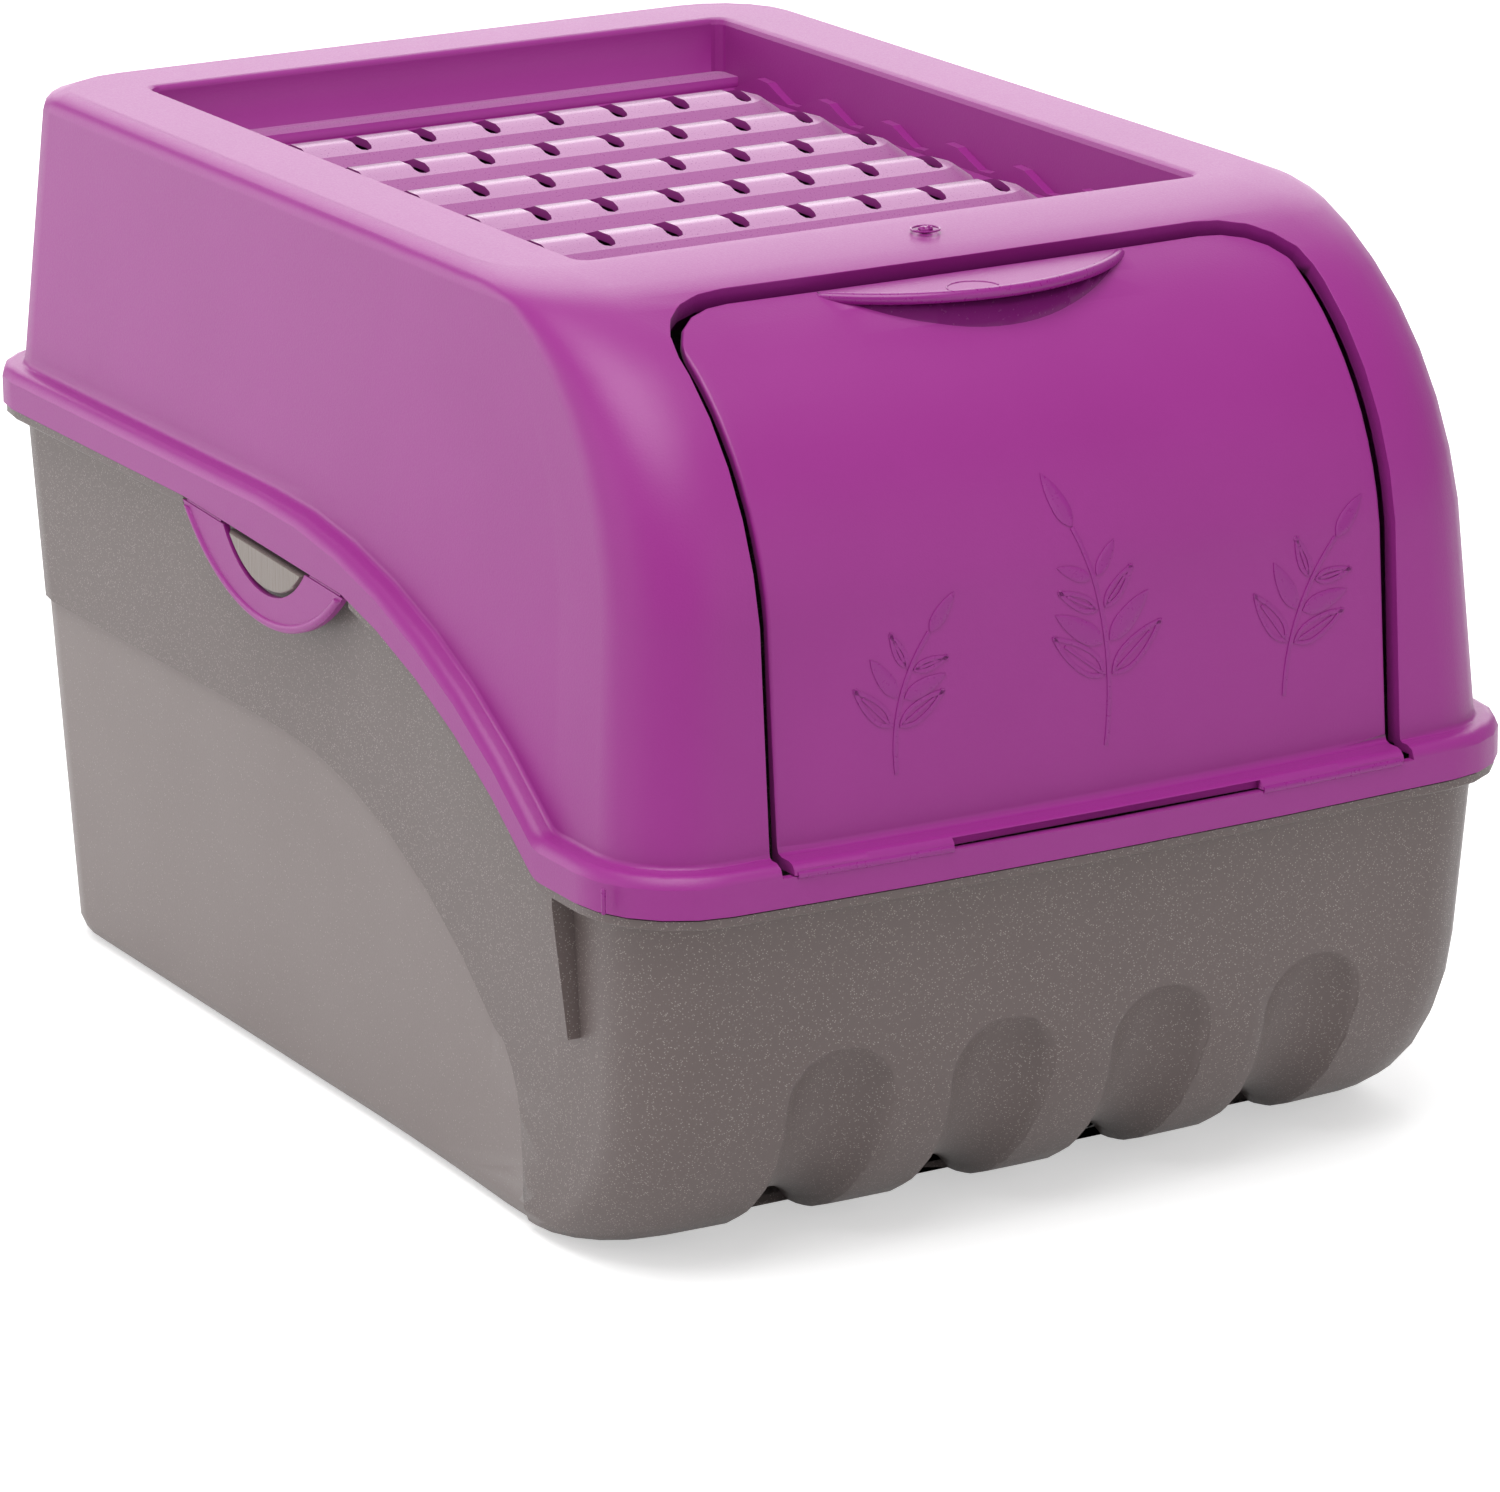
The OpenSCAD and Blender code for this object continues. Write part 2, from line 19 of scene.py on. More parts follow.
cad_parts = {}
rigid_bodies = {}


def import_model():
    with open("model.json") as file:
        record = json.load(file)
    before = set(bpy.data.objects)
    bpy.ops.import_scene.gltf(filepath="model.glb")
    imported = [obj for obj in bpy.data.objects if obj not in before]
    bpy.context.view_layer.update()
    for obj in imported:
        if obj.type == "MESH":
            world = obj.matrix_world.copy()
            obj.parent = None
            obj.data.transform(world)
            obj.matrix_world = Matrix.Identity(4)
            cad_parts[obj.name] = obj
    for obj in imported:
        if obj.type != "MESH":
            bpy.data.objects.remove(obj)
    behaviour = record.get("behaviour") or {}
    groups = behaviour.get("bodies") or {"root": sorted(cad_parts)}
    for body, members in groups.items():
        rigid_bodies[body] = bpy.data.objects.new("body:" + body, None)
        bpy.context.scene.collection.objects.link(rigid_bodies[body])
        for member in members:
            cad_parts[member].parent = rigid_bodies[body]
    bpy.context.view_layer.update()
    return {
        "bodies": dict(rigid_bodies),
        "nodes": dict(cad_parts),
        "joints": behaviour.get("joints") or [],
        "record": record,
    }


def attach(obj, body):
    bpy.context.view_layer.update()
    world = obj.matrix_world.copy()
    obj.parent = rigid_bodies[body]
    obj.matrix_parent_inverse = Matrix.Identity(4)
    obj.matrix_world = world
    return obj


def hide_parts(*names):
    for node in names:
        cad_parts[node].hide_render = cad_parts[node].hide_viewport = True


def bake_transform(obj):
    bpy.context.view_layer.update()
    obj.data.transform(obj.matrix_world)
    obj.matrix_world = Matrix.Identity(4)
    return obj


MM = 0.001
LOG = logging.getLogger("potato_bin")


class Slot(Enum):
    """Material slots of the record."""

    TUB = "tub_plastic"
    LID = "lid_plastic"


class Body(Enum):
    """Bodies that the pieces ride on."""

    TUB = "tub"
    LID = "lid"
    FLAP = "flap"
    LATCH_LEFT = "latch_left"
    LATCH_RIGHT = "latch_right"


def linear(hex_colour: str) -> tuple[float, float, float, float]:
    """Turns an sRGB hex colour into linear RGBA.

    Args:
        hex_colour: Colour such as "#93308a".

    Returns:
        The colour as linear red, green, blue and an alpha of 1.
    """
    parts = [int(hex_colour[i:i + 2], 16) / 255 for i in (1, 3, 5)]
    red, green, blue = (
        c / 12.92 if c <= 0.04045 else ((c + 0.055) / 1.055) ** 2.4 for c in parts
    )
    return red, green, blue, 1.0


def add_node(
    tree: bpy.types.NodeTree, kind: str, settings: dict | None = None, inputs: dict | None = None
) -> bpy.types.Node:
    """Adds a node with its settings, input values and links.

    Args:
        tree: Node tree that gets the node.
        kind: Blender's name of the node type.
        settings: Values of the node's own properties.
        inputs: Values or source sockets by the name or number of the input.

    Returns:
        The new node.
    """
    node = tree.nodes.new(kind)
    for name, value in (settings or {}).items():
        setattr(node, name, value)
    for name, value in (inputs or {}).items():
        if isinstance(value, bpy.types.NodeSocket):
            tree.links.new(value, node.inputs[name])
        else:
            node.inputs[name].default_value = value
    return node


@dataclass(frozen=True)
class MouldedPolypropylene:
    """Injection-moulded polypropylene with the fine grain of an etched mould.

    The grain breaks the reflection of the room into a soft satin sheen. Grain, clouds and flecks
    are in millimetres. A fleck is drawn about 0.3 mm wide, as coarse as it needs to show.

    Attributes:
        name: Name of the material.
        base: Colour of the resin.
        cloud: Slightly lighter colour that drifts through the resin.
        roughness: Middle roughness of the skin.
        roughness_swing: How far the grain moves the roughness.
        grain: Width of the grain.
        grain_depth: Depth of the grain.
        strokes: How much longer the grain is upright than across.
        cloud_size: Width of the colour clouds.
        fleck: Colour of the flecks, or nothing for a resin without them.
        fleck_size: Distance between the places where a fleck may lie.
        fleck_share: Share of these places that hold one.
        level: Strength of the reflection.
        haze: Strength of the pale bloom at a flat angle.
        haze_spread: Roughness of that bloom.
        refraction: Refractive index of polypropylene.
    """

    name: str
    base: str
    cloud: str
    roughness: float
    roughness_swing: float = 0.04
    grain: float = 0.55
    grain_depth: float = 0.035
    strokes: float = 1.0
    cloud_size: float = 45.0
    fleck: str = ""
    fleck_size: float = 0.44
    fleck_share: float = 0.08
    level: float = 0.5
    haze: float = 0.0
    haze_spread: float = 0.4
    refraction: float = 1.49

    def material(self) -> bpy.types.Material:
        """Builds the node material.

        Returns:
            The finished material.
        """
        made = bpy.data.materials.new(self.name)
        made.use_nodes = True
        tree = made.node_tree
        shader = tree.nodes["Principled BSDF"]
        place = add_node(tree, "ShaderNodeTexCoord").outputs["Object"]
        clouds = add_node(
            tree, "ShaderNodeTexNoise", None,
            {"Vector": place, "Scale": 1 / (self.cloud_size * MM), "Detail": 3.0},
        )
        colour = add_node(
            tree, "ShaderNodeMix", {"data_type": "RGBA"},
            {0: clouds.outputs["Fac"], 6: linear(self.base), 7: linear(self.cloud)},
        ).outputs[2]
        if self.fleck:
            colour = self.flecked(tree, place, colour)
        tree.links.new(colour, shader.inputs["Base Color"])
        stretched = add_node(
            tree, "ShaderNodeMapping", None,
            {"Vector": place, "Scale": (1.0, 1.0, 1 / self.strokes)},
        )
        grain = add_node(
            tree, "ShaderNodeTexNoise", None,
            {"Vector": stretched.outputs["Vector"], "Scale": 1 / (self.grain * MM),
             "Detail": 2.0, "Roughness": 0.6},
        )
        rough = add_node(
            tree, "ShaderNodeMapRange", None,
            {"Value": grain.outputs["Fac"], "From Min": 0.3, "From Max": 0.7,
             "To Min": self.roughness - self.roughness_swing,
             "To Max": self.roughness + self.roughness_swing},
        )
        tree.links.new(rough.outputs["Result"], shader.inputs["Roughness"])
        bump = add_node(
            tree, "ShaderNodeBump", None,
            {"Height": grain.outputs["Fac"], "Distance": self.grain_depth * MM,
             "Strength": 1.0},
        )
        tree.links.new(bump.outputs["Normal"], shader.inputs["Normal"])
        shader.inputs["IOR"].default_value = self.refraction
        shader.inputs["Specular IOR Level"].default_value = self.level
        shader.inputs["Sheen Weight"].default_value = self.haze
        shader.inputs["Sheen Roughness"].default_value = self.haze_spread
        return made

    def flecked(
        self, tree: bpy.types.NodeTree, place: bpy.types.NodeSocket, colour: bpy.types.NodeSocket
    ) -> bpy.types.NodeSocket:
        """Adds the pale flecks of a tinted resin.

        The cells that hold them are turned, so that no upright wall cuts them in rows.

        Args:
            tree: Node tree of the material.
            place: Coordinates in metres.
            colour: Colour without flecks.

        Returns:
            The socket of the flecked colour.
        """
        turned = add_node(
            tree, "ShaderNodeMapping", None, {"Vector": place, "Rotation": (0.6, 0.4, 0.9)}
        )
        cells = add_node(
            tree, "ShaderNodeTexVoronoi", None,
            {"Vector": turned.outputs["Vector"], "Scale": 1 / (self.fleck_size * MM),
             "Randomness": 1.0},
        )
        pick = add_node(tree, "ShaderNodeSeparateColor", None, {"Color": cells.outputs["Color"]})
        chosen = add_node(
            tree, "ShaderNodeMapRange", None,
            {"Value": pick.outputs["Red"], "From Min": 1 - self.fleck_share,
             "From Max": 1 - self.fleck_share + 0.02},
        )
        near = add_node(
            tree, "ShaderNodeMapRange", None,
            {"Value": cells.outputs["Distance"], "From Min": 0.45, "From Max": 0.2},
        )
        share = add_node(
            tree, "ShaderNodeMath", {"operation": "MULTIPLY"},
            {0: chosen.outputs["Result"], 1: near.outputs["Result"]},
        )
        return add_node(
            tree, "ShaderNodeMix", {"data_type": "RGBA"},
            {0: share.outputs["Value"], 6: colour, 7: linear(self.fleck)},
        ).outputs[2]


# Fine satin skin of the lid, purple with a pale bloom where it is seen at a flat angle
LID_PLASTIC = MouldedPolypropylene(
    "moulded_polypropylene_aubergine", "#921e82", "#992689", 0.42, haze=0.09
)
# Matte skin of the tub, grey-brown with many small pale flecks
TUB_PLASTIC = MouldedPolypropylene(
    "moulded_polypropylene_taupe", "#655957", "#6c605e", 0.44, haze=0.1,
    fleck="#a49b96", fleck_share=0.26,
)
# Etching of the sunk panel, with fewer flecks than the rest of the tub; its paler colour is painted
# sheen of the side and back walls
TUB_PANEL_PAINTED_SHEEN_PLASTIC = MouldedPolypropylene(
    "fine_etched_polypropylene_taupe_painted_sheen", "#7c706e", "#837876", 0.5, haze=0.2, fleck="#a89f9a"
)
# Polished floor of the vent; its pale purple is painted reflection of the white room on the ribs
VENT_PAINTED_REFLECTION_PLASTIC = MouldedPolypropylene(
    "glossy_polypropylene_vent_floor_painted_reflection", "#a65a9a", "#ad62a0", 0.3, grain_depth=0.012, level=1.0,
    haze=0.6,
)
# Skin that was dressed with a file, pale with upright strokes
DRESSED_TUB_PLASTIC = MouldedPolypropylene(
    "file_dressed_polypropylene_taupe", "#7f746e", "#8a7f78", 0.4, grain=1.1, grain_depth=0.16,
    strokes=14.0, haze=0.2,
)
# Small polished places of the mould, a little glossier and darker than the satin skin
POLISHED_LID_PLASTIC = MouldedPolypropylene(
    "polished_polypropylene_aubergine", "#8c1a7e", "#931f85", 0.3, grain=1.2, grain_depth=0.01
)
# Smooth upright wall under the finger lip, the glossiest of the lid; its dark purple is painted
# shade under the lip's rim
LIP_WALL_PAINTED_SHADE_PLASTIC = MouldedPolypropylene(
    "mirror_smooth_polypropylene_aubergine_painted_shade", "#64125a", "#6b1560", 0.24, grain=1.2,
    grain_depth=0.004,
)


def only(piece: bpy.types.Object) -> bpy.types.Object:
    """Makes one object the only selected one and the active one.

    Args:
        piece: Object to work on.

    Returns:
        The same object.
    """
    bpy.ops.object.select_all(action="DESELECT")
    piece.select_set(True)
    bpy.context.view_layer.objects.active = piece
    return piece


def apply_modifier(piece: bpy.types.Object, kind: str, **settings: object) -> None:
    """Adds a modifier, sets it and applies it.

    Args:
        piece: Object that gets the modifier.
        kind: Blender's name of the modifier type.
        **settings: Values of the modifier's properties.
    """
    only(piece)
    modifier = piece.modifiers.new(kind.lower(), kind)
    for name, value in settings.items():
        setattr(modifier, name, value)
    bpy.ops.object.modifier_apply(modifier=modifier.name)


def seat(piece: bpy.types.Object) -> None:
    """Moves the place and turn of an object into its mesh.

    Args:
        piece: Object that ends at the origin.
    """
    only(piece)
    bpy.ops.object.transform_apply(location=True, rotation=True, scale=True)


def dress(
    piece: bpy.types.Object, material: bpy.types.Material, body: Body
) -> None:
    """Gives a piece its finish and its body.

    Args:
        piece: Finished object.
        material: Finish.
        body: Body that carries the piece.
    """
    piece.data.materials.clear()
    piece.data.materials.append(material)
    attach(piece, body.value)
    LOG.info("%s: %d faces on %s", piece.name, len(piece.data.polygons), body.value)


@dataclass(frozen=True)
class FrontCurve:
    """The big front curve of the hood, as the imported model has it.

    Attributes:
        foot_z: Height of the ledge that the leaning front stands on.
        top_z: Height of the middle of the curve.
        radius: Radius of the curve.
        lean: Lean of the front, in degrees.
        wall_in: Distance of the front's foot behind the band.
        bow_radius: Radius of the bow of the front seen from above.
        half_length: Half the length over the band.
    """

    foot_z: float = 112.0
    top_z: float = 156.5
    radius: float = 83.5
    lean: float = 3.0
    wall_in: float = 6.3
    bow_radius: float = 1731.6
    half_length: float = 190.0

    def depth(self, place: Vector) -> float:
        """Measures how deep a point lies behind the front surface.

        Args:
            place: Point in millimetres.

        Returns:
            The depth in millimetres, below zero in front of the surface.
        """
        lean = math.radians(self.lean)
        start_z = self.top_z + self.radius * math.sin(lean)
        face = -self.half_length + self.wall_in + place.x ** 2 / (2 * self.bow_radius)
        middle = face + (start_z - self.foot_z) * math.tan(lean) + self.radius * math.cos(lean)
        if place.z >= start_z:
            return self.radius - math.hypot(place.y - middle, place.z - self.top_z)
        return (place.y - face - (place.z - self.foot_z) * math.tan(lean)) * math.cos(lean)


@dataclass(frozen=True)
class EdgeRound:
    """A rule that rounds the sharp edges of a moulding in one place.

    Attributes:
        radius: Radius of the round.
        segments: Number of flats that make the round.
        least_angle: Angle in degrees from which an edge counts as sharp.
        chosen: Tells for the two ends of an edge whether it is rounded.
    """

    radius: float
    segments: int
    least_angle: float
    chosen: Callable[[Vector, Vector], bool]


@dataclass
class MouldedShell:
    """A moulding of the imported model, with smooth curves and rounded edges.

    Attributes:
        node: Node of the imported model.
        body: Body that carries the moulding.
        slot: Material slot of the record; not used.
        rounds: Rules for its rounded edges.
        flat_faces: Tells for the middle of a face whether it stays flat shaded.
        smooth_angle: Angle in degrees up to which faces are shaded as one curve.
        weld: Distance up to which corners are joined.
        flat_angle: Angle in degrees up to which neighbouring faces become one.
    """

    node: str
    body: Body
    slot: Slot
    rounds: tuple[EdgeRound, ...] = ()
    flat_faces: Callable[[Vector], bool] | None = None
    smooth_angle: float = 34.0
    weld: float = 0.02
    flat_angle: float = 0.4

    def build(self, nodes: dict, material: bpy.types.Material) -> bpy.types.Object:
        """Copies the node, welds it, rounds its edges and dresses it.

        Args:
            nodes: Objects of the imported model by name.
            material: Finish of the moulding.

        Returns:
            The finished shell.
        """
        source = nodes[self.node]
        shell = bpy.data.objects.new(f"{self.node}_moulding", source.data.copy())
        bpy.context.scene.collection.objects.link(shell)
        only(shell)
        bpy.ops.object.mode_set(mode="EDIT")
        bpy.ops.mesh.select_all(action="SELECT")
        bpy.ops.mesh.remove_doubles(threshold=self.weld * MM)
        bpy.ops.mesh.dissolve_limited(angle_limit=math.radians(self.flat_angle))
        bpy.ops.object.mode_set(mode="OBJECT")
        for rule in self.rounds:
            self.round_edges(shell, rule)
        bpy.ops.object.shade_smooth_by_angle(angle=math.radians(self.smooth_angle))
        for face in shell.data.polygons:
            if self.flat_faces and self.flat_faces(face.center / MM):
                face.use_smooth = False
        apply_modifier(shell, "WEIGHTED_NORMAL", keep_sharp=True, weight=100)
        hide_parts(self.node)
        dress(shell, material, self.body)
        return shell

    def round_edges(self, shell: bpy.types.Object, rule: EdgeRound) -> None:
        """Selects the edges that a rule names and bevels them.

        Args:
            shell: Moulding in object mode.
            rule: Place, angle and radius of the edges.
        """
        only(shell)
        bpy.ops.object.mode_set(mode="EDIT")
        bpy.ops.mesh.select_mode(type="EDGE")
        bpy.ops.mesh.select_all(action="DESELECT")
        bpy.ops.mesh.edges_select_sharp(sharpness=math.radians(rule.least_angle))
        bpy.ops.object.mode_set(mode="OBJECT")
        points = shell.data.vertices
        kept = 0
        for edge in shell.data.edges:
            ends = [points[i].co / MM for i in edge.vertices]
            edge.select = edge.select and rule.chosen(*ends)
            kept += edge.select
        for face in shell.data.polygons:
            face.select = False
        bpy.ops.object.mode_set(mode="EDIT")
        bpy.ops.mesh.bevel(
            offset=rule.radius * MM, segments=rule.segments, affect="EDGES",
            clamp_overlap=True,
        )
        bpy.ops.object.mode_set(mode="OBJECT")
        LOG.info("%s: %d edges rounded to %.1f mm", shell.name, kept, rule.radius)


FRONT = FrontCurve()


@dataclass(frozen=True)
class FlapOpening:
    """The opening in the hood's front curve, whose outer edge is rolled."""

    half_width: float = 91.6
    back_y: float = -90.0
    foot_z: float = 112.4
    least_depth: float = -1.0
    most_depth: float = 0.6
    edge_radius: float = 2.0
    edge_segments: int = 4
    sharp_angle: float = 50.0

    def on_outline(self, one: Vector, other: Vector) -> bool:
        """Tells whether an edge lies on the outer outline of the opening.

        Args:
            one: One end of the edge.
            other: Its other end.

        Returns:
            Whether both ends lie there.
        """
        return all(
            abs(p.x) < self.half_width and p.y < self.back_y and p.z > self.foot_z
            and self.least_depth < FRONT.depth(p) < self.most_depth
            for p in (one, other)
        )

    def rounding(self) -> EdgeRound:
        """Gives the rule that rolls the outer edge."""
        return EdgeRound(
            self.edge_radius, self.edge_segments, self.sharp_angle, self.on_outline
        )


@dataclass(frozen=True)
class TrayBead:
    """The wavy bead along the foot of the tray's side walls.

    Its narrow faces stay flat shaded, because smooth shading turns them grey.
    """

    inner_x: float = 84.0
    outer_x: float = 92.0
    front_y: float = -92.0
    back_y: float = 157.0
    low_z: float = 218.0
    high_z: float = 239.0

    def holds(self, place: Vector) -> bool:
        """Tells whether a point lies on the bead or the wall behind it.

        Args:
            place: Point in millimetres.

        Returns:
            Whether it lies there.
        """
        return (
            self.inner_x < abs(place.x) < self.outer_x
            and self.front_y < place.y < self.back_y
            and self.low_z < place.z < self.high_z
        )


@dataclass(frozen=True)
class LowerPanel:
    """The sunk lower panel of the tub's side and back walls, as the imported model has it.

    Its upper edge is level at the back, and falls towards the front in a long and a short arc.
    """

    front_y: float = -109.0
    level_z: float = 98.6
    bend_y: float = 20.0
    bend_radius: float = 165.0
    turn_start_y: float = -95.0
    turn_y: float = -76.0
    turn_z: float = 27.5
    turn_radius: float = 33.0
    least_out: float = 0.6
    slack_y: float = 0.1
    slack_z: float = 0.15

    def top(self, y: float) -> float:
        """Measures the height of the upper edge.

        Args:
            y: Place along the bin.

        Returns:
            The height of the edge there.
        """
        if y >= self.bend_y:
            return self.level_z
        if y > self.turn_start_y:
            arc = math.sqrt(self.bend_radius ** 2 - (self.bend_y - y) ** 2)
            return self.level_z - self.bend_radius + arc
        return self.turn_z + math.sqrt(max(0.0, self.turn_radius ** 2 - (y - self.turn_y) ** 2))

    def etch_and_paint_sheen(self, tub: bpy.types.Object, material: bpy.types.Material) -> None:
        """Gives the faces of the panel their finer etching and a paler colour that paints their
        sheen.

        Args:
            tub: Shell of the tub.
            material: Finish of the panel, with painted sheen.
        """
        tub.data.materials.append(material)
        for face in tub.data.polygons:
            middle, normal = face.center / MM, face.normal
            sideways = normal.x * math.copysign(1.0, middle.x)
            corners = [tub.data.vertices[i].co / MM for i in face.vertices]
            inside = all(
                c.y > self.front_y - self.slack_y and c.z < self.top(c.y) + self.slack_z
                for c in corners
            )
            # Outward faces of the panel get the paler colour of painted sheen
            if inside and max(sideways, normal.y) > self.least_out:
                face.material_index = 1


@dataclass(frozen=True)
class VentFloor:
    """The ribbed floor of the tray, which leaves the mould glossier than the hood, with a pale
    purple on its upward faces that is painted reflection.
    """

    half_width: float = 87.3
    front_y: float = -89.5
    back_y: float = 154.5
    crest_z: float = 229.8
    foot_z: float = 222.0
    least_up: float = 0.1

    def gloss_and_paint_reflection(self, hood: bpy.types.Object, material: bpy.types.Material) -> None:
        """Gives the upper faces of the floor their glossy finish and the pale purple of painted
        reflection.

        Args:
            hood: Shell of the hood.
            material: Glossy finish of the floor, with painted reflection.
        """
        hood.data.materials.append(material)
        for face in hood.data.polygons:
            middle = face.center / MM
            within = abs(middle.x) < self.half_width and self.front_y < middle.y < self.back_y
            level = self.foot_z < middle.z < self.crest_z
            # Upward faces get the pale purple of painted reflection
            if within and level and face.normal.z > self.least_up:
                face.material_index = 1


@dataclass
class FilmHinge:
    """One of the two thin films that join the flap's foot to the band.

    Attributes:
        side: -1 for the left film and 1 for the right one.
        inner_x: Distance of its inner end from the middle of the bin.
        outer_x: Distance of its outer end from the middle of the bin.
        low_z: Height of its lower edge, on the band.
        high_z: Height of its upper edge, on the foot.
        proud: How far its middle stands out of the band.
        sunk_edge: How deep its edges lie in the plastic.
        thickness: Thickness of the sheet.
    """

    side: int
    inner_x: float = 44.8
    outer_x: float = 87.2
    low_z: float = 108.2
    high_z: float = 109.9
    proud: float = 0.25
    sunk_edge: float = 0.8
    thickness: float = 0.4

    def build(self, material: bpy.types.Material) -> None:
        """Makes the film as a sheet that follows the bow of the band.

        Args:
            material: Finish of the film.
        """
        bpy.ops.mesh.primitive_grid_add(
            x_subdivisions=16, y_subdivisions=8, size=1.0, rotation=(math.pi / 2, 0, 0)
        )
        film = bpy.context.active_object
        film.name = "flap_film_left" if self.side < 0 else "flap_film_right"
        seat(film)
        for vertex in film.data.vertices:
            across, up = vertex.co.x + 0.5, 2 * vertex.co.z
            x = self.side * (self.inner_x + across * (self.outer_x - self.inner_x))
            crown = math.sqrt(1 - abs(up) ** 3)
            out = (self.proud + self.sunk_edge) * crown - self.sunk_edge
            y = x * x / (2 * FRONT.bow_radius) - FRONT.half_length - out
            z = (self.low_z + self.high_z) / 2 + up * (self.high_z - self.low_z) / 2
            vertex.co = Vector((x, y, z)) * MM
        only(film)
        bpy.ops.object.mode_set(mode="EDIT")
        bpy.ops.mesh.select_all(action="SELECT")
        bpy.ops.mesh.normals_make_consistent(inside=False)
        bpy.ops.object.mode_set(mode="OBJECT")
        apply_modifier(film, "SOLIDIFY", thickness=self.thickness * MM, offset=0.0)
        bpy.ops.object.shade_smooth_by_angle(angle=math.radians(50))
        film.data.materials.append(material)
        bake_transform(film)
        LOG.info("%s: %d faces from lid to flap", film.name, len(film.data.polygons))


@dataclass(frozen=True)
class Catch:
    """The half-moon catches on the tub's sides, whose faces were dressed with a file."""

    face_x: float = 130.0
    low_z: float = 138.0
    high_z: float = 149.4

    def dress_faces(self, tub: bpy.types.Object, material: bpy.types.Material) -> None:
        """Gives the outer faces of both catches their upright file strokes.

        Args:
            tub: Shell of the tub.
            material: Finish of the dressed faces.
        """
        tub.data.materials.append(material)
        place = len(tub.data.materials) - 1
        for face in tub.data.polygons:
            middle = face.center / MM
            if abs(middle.x) > self.face_x and self.low_z < middle.z < self.high_z:
                face.material_index = place


@dataclass(frozen=True)
class Sprig:
    """A leaf sprig, drawn on the flap as seen from the front.

    Attributes:
        foot: Place of the stem's foot across and up the flap.
        height: Length of the stem.
        bow: Turn of the stem from foot to top, in degrees.
        lean: Direction of the stem at its foot, in degrees from upright.
        pairs: Number of pairs of leaves.
        leaf: Length of the lowest leaves.
    """

    foot: tuple[float, float]
    height: float
    bow: float
    lean: float
    pairs: int
    leaf: float


